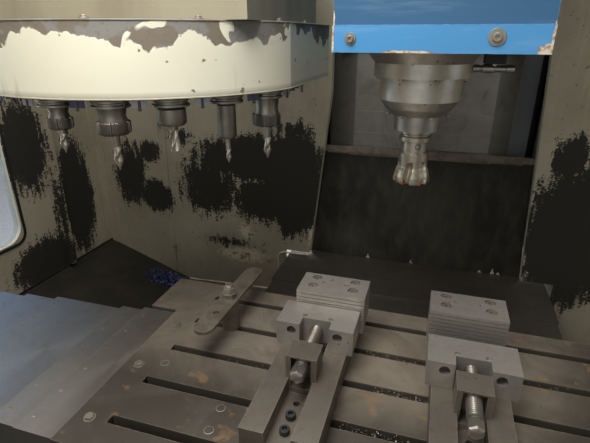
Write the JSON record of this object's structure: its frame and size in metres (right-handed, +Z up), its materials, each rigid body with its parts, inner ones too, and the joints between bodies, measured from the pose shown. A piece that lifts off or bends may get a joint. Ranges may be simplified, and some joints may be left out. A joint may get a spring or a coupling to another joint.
{
  "type": "cnc machining center",
  "caption": "Vertical machining centre with cast base, moving table, spindle head, umbrella tool magazine and sheet metal enclosure.",
  "frame": {"origin": "on the floor, at the middle of the foundation bolt pattern, 250 mm behind the spindle axis", "axes": "+X along the table to the right as seen from the doors, +Y from the doors to the column, +Z up"},
  "size_m": [3.167, 2.46, 2.345],
  "materials": {
    "cast_iron_paint": "grey casting paint",
    "cream_paint": "cream enamel, flaked and stained",
    "blue_paint": "blue enamel, scratched",
    "machined_iron": "machined and oily",
    "stainless": "brushed, stained by coolant",
    "ground_steel": "ground",
    "black_enamel": "semi-gloss black",
    "black_rubber": "soft sheen",
    "window_glass": "clear polycarbonate",
    "red_plastic": "glossy",
    "green_plastic": "glossy",
    "yellow_plastic": "glossy"
  },
  "bodies": {
    "frame": {"base": "cast_iron_paint", "levelling_feet": "ground_steel", "column": "cast_iron_paint", "axis_motors": "black_enamel", "side_panels": "cream_paint", "back_panel": "cream_paint", "front_panel": "cream_paint", "side_windows": "window_glass", "chip_sheds": "stainless", "y_cover_fixed": "stainless", "z_cover_lower": "stainless", "rubber_sheet": "black_rubber", "clamp_bar": "stainless", "electric_cabinet": "cream_paint"},
    "saddle": {"saddle": "cast_iron_paint", "x_cover_wings": "stainless", "y_cover_saddle": "stainless"},
    "table": {"table": "machined_iron", "clamp_post": "ground_steel", "clamp_strap": "ground_steel", "left_vise_base": "ground_steel", "left_fixed_jaw": "ground_steel", "right_vise_base": "ground_steel", "right_fixed_jaw": "ground_steel"},
    "head": {"head_casting": "cast_iron_paint", "head_cover": "blue_paint", "spindle_cartridge": "ground_steel", "spindle_motor": "black_enamel", "z_cover_upper": "stainless"},
    "spindle": {"spindle": "ground_steel", "face_mill": "ground_steel"},
    "magazine": {"magazine_housing": "cream_paint", "magazine_cover": "cream_paint"},
    "carousel": {"carousel": "machined_iron", "magazine_tools": "ground_steel"},
    "y_screw": {"y_screw": "ground_steel"},
    "z_screw": {"z_screw": "ground_steel"},
    "cabinet_door": {"cabinet_door": "cream_paint"},
    "main_switch": {"main_switch": "red_plastic"},
    "coolant_tank": {"coolant_tank": "stainless"},
    "panel_arm": {"panel_arm": "cream_paint"},
    "control_panel": {"control_panel": "cream_paint"},
    "stop_button": {"stop_button": "red_plastic"},
    "start_button": {"start_button": "green_plastic"},
    "hold_button": {"hold_button": "yellow_plastic"},
    "left_door": {"left_door": "cream_paint"},
    "right_door": {"right_door": "cream_paint"},
    "x_screw": {"x_screw": "ground_steel"},
    "left_moving_jaw": {"left_moving_jaw": "ground_steel"},
    "left_vise_screw": {"left_vise_screw": "ground_steel"},
    "right_moving_jaw": {"right_moving_jaw": "ground_steel"},
    "right_vise_screw": {"right_vise_screw": "ground_steel"},
    "left_x_cover_1": {"left_x_cover_1": "stainless"},
    "left_x_cover_2": {"left_x_cover_2": "stainless"},
    "left_x_cover_3": {"left_x_cover_3": "stainless"},
    "left_x_cover_4": {"left_x_cover_4": "stainless"},
    "left_x_cover_5": {"left_x_cover_5": "stainless"},
    "right_x_cover_1": {"right_x_cover_1": "stainless"},
    "right_x_cover_2": {"right_x_cover_2": "stainless"},
    "right_x_cover_3": {"right_x_cover_3": "stainless"}
  },
  "joints": [
    {"name": "saddle_y", "type": "slide", "parent": "frame", "child": "saddle", "axis": [0, 1, 0], "range_m": [-0.01, 0.39]},
    {"name": "y_screw_turn", "type": "hinge", "parent": "frame", "child": "y_screw", "pos_m": [0, -0.306, 0.558], "axis": [0, 1, 0], "range_deg": [-220, 7060]},
    {"name": "table_x", "type": "slide", "parent": "saddle", "child": "table", "axis": [1, 0, 0], "range_m": [-0.36, 0.44]},
    {"name": "x_screw_turn", "type": "hinge", "parent": "saddle", "child": "x_screw", "pos_m": [0.02, -0.531, 0.7403], "axis": [1, 0, 0], "range_deg": [-6520, 7960]},
    {"name": "head_z", "type": "slide", "parent": "frame", "child": "head", "axis": [0, 0, 1], "range_m": [-0.16, 0.25]},
    {"name": "z_screw_turn", "type": "hinge", "parent": "frame", "child": "z_screw", "pos_m": [0, 0.416, 1.74], "axis": [0, 0, 1], "range_deg": [-2920, 4540]},
    {"name": "spindle_turn", "type": "hinge", "parent": "head", "child": "spindle", "pos_m": [0, -0.25, 1.322], "axis": [0, 0, 1], "continuous": true},
    {"name": "magazine_x", "type": "slide", "parent": "frame", "child": "magazine", "axis": [1, 0, 0], "range_m": [0, 0.08]},
    {"name": "carousel_turn", "type": "hinge", "parent": "magazine", "child": "carousel", "pos_m": [-0.577, -0.25, 1.41], "axis": [0, 0, 1], "continuous": true},
    {"name": "left_x_cover_1_slide", "type": "slide", "parent": "saddle", "child": "left_x_cover_1", "axis": [1, 0, 0], "range_m": [-0.339, 0.4138]},
    {"name": "left_x_cover_2_slide", "type": "slide", "parent": "saddle", "child": "left_x_cover_2", "axis": [1, 0, 0], "range_m": [-0.2889, 0.3527]},
    {"name": "left_x_cover_3_slide", "type": "slide", "parent": "saddle", "child": "left_x_cover_3", "axis": [1, 0, 0], "range_m": [-0.2349, 0.2867]},
    {"name": "left_x_cover_4_slide", "type": "slide", "parent": "saddle", "child": "left_x_cover_4", "axis": [1, 0, 0], "range_m": [-0.146, 0.178]},
    {"name": "left_x_cover_5_slide", "type": "slide", "parent": "saddle", "child": "left_x_cover_5", "axis": [1, 0, 0], "range_m": [-0.074, 0.09]},
    {"name": "right_x_cover_1_slide", "type": "slide", "parent": "saddle", "child": "right_x_cover_1", "axis": [1, 0, 0], "range_m": [-0.3152, 0.3848]},
    {"name": "right_x_cover_2_slide", "type": "slide", "parent": "saddle", "child": "right_x_cover_2", "axis": [1, 0, 0], "range_m": [-0.236, 0.288]},
    {"name": "right_x_cover_3_slide", "type": "slide", "parent": "saddle", "child": "right_x_cover_3", "axis": [1, 0, 0], "range_m": [-0.128, 0.156]},
    {"name": "left_jaw_slide", "type": "slide", "parent": "table", "child": "left_moving_jaw", "axis": [0, 1, 0], "range_m": [-0.06, 0.001]},
    {"name": "left_vise_screw_turn", "type": "hinge", "parent": "left_moving_jaw", "child": "left_vise_screw", "pos_m": [-0.136, -0.6, 0.976], "axis": [0, 1, 0], "range_deg": [-5440, 130]},
    {"name": "right_jaw_slide", "type": "slide", "parent": "table", "child": "right_moving_jaw", "axis": [0, 1, 0], "range_m": [-0.028, 0.034]},
    {"name": "right_vise_screw_turn", "type": "hinge", "parent": "right_moving_jaw", "child": "right_vise_screw", "pos_m": [0.14, -0.6, 0.976], "axis": [0, 1, 0], "range_deg": [-2560, 3100]},
    {"name": "left_door_slide", "type": "slide", "parent": "frame", "child": "left_door", "axis": [1, 0, 0], "range_m": [0, 0.634]},
    {"name": "right_door_slide", "type": "slide", "parent": "frame", "child": "right_door", "axis": [-1, 0, 0], "range_m": [0, 0.634]},
    {"name": "tank_pull", "type": "slide", "parent": "frame", "child": "coolant_tank", "axis": [0, -1, 0], "range_m": [0, 0.6]},
    {"name": "cabinet_door_hinge", "type": "hinge", "parent": "frame", "child": "cabinet_door", "pos_m": [1.199, 0.763, 0.97], "axis": [0, 0, -1], "range_deg": [0, 110]},
    {"name": "main_switch_turn", "type": "hinge", "parent": "cabinet_door", "child": "main_switch", "pos_m": [0.63, 0.776, 1.4], "axis": [0, 1, 0], "range_deg": [0, 90]},
    {"name": "panel_arm_swing", "type": "hinge", "parent": "frame", "child": "panel_arm", "pos_m": [1.342, -1.21, 1.88], "axis": [0, 0, 1], "range_deg": [-60, 45]},
    {"name": "panel_swivel", "type": "hinge", "parent": "panel_arm", "child": "control_panel", "pos_m": [1.672, -1.21, 1.88], "axis": [0, 0, 1], "range_deg": [-70, 70]},
    {"name": "stop_button_push", "type": "slide", "parent": "control_panel", "child": "stop_button", "axis": [0, 1, 0], "range_m": [0, 0.008]},
    {"name": "start_button_push", "type": "slide", "parent": "control_panel", "child": "start_button", "axis": [0, 1, 0], "range_m": [0, 0.004], "stiffness_N_per_m": 400, "springref_m": -0.002},
    {"name": "hold_button_push", "type": "slide", "parent": "control_panel", "child": "hold_button", "axis": [0, 1, 0], "range_m": [0, 0.004], "stiffness_N_per_m": 400, "springref_m": -0.002}
  ],
  "couplings": [
    {"joint": "y_screw_turn", "follows": "saddle_y", "rad_per_m": 314.16},
    {"joint": "x_screw_turn", "follows": "table_x", "rad_per_m": 314.16},
    {"joint": "z_screw_turn", "follows": "head_z", "rad_per_m": 314.16},
    {"joint": "left_x_cover_1_slide", "follows": "table_x", "ratio": 0.936},
    {"joint": "left_x_cover_2_slide", "follows": "table_x", "ratio": 0.797},
    {"joint": "left_x_cover_3_slide", "follows": "table_x", "ratio": 0.647},
    {"joint": "left_x_cover_4_slide", "follows": "table_x", "ratio": 0.4},
    {"joint": "left_x_cover_5_slide", "follows": "table_x", "ratio": 0.2},
    {"joint": "right_x_cover_1_slide", "follows": "table_x", "ratio": 0.87},
    {"joint": "right_x_cover_2_slide", "follows": "table_x", "ratio": 0.65},
    {"joint": "right_x_cover_3_slide", "follows": "table_x", "ratio": 0.35},
    {"joint": "left_vise_screw_turn", "follows": "left_jaw_slide", "rad_per_m": 1570.8},
    {"joint": "right_vise_screw_turn", "follows": "right_jaw_slide", "rad_per_m": 1570.8}
  ]
}
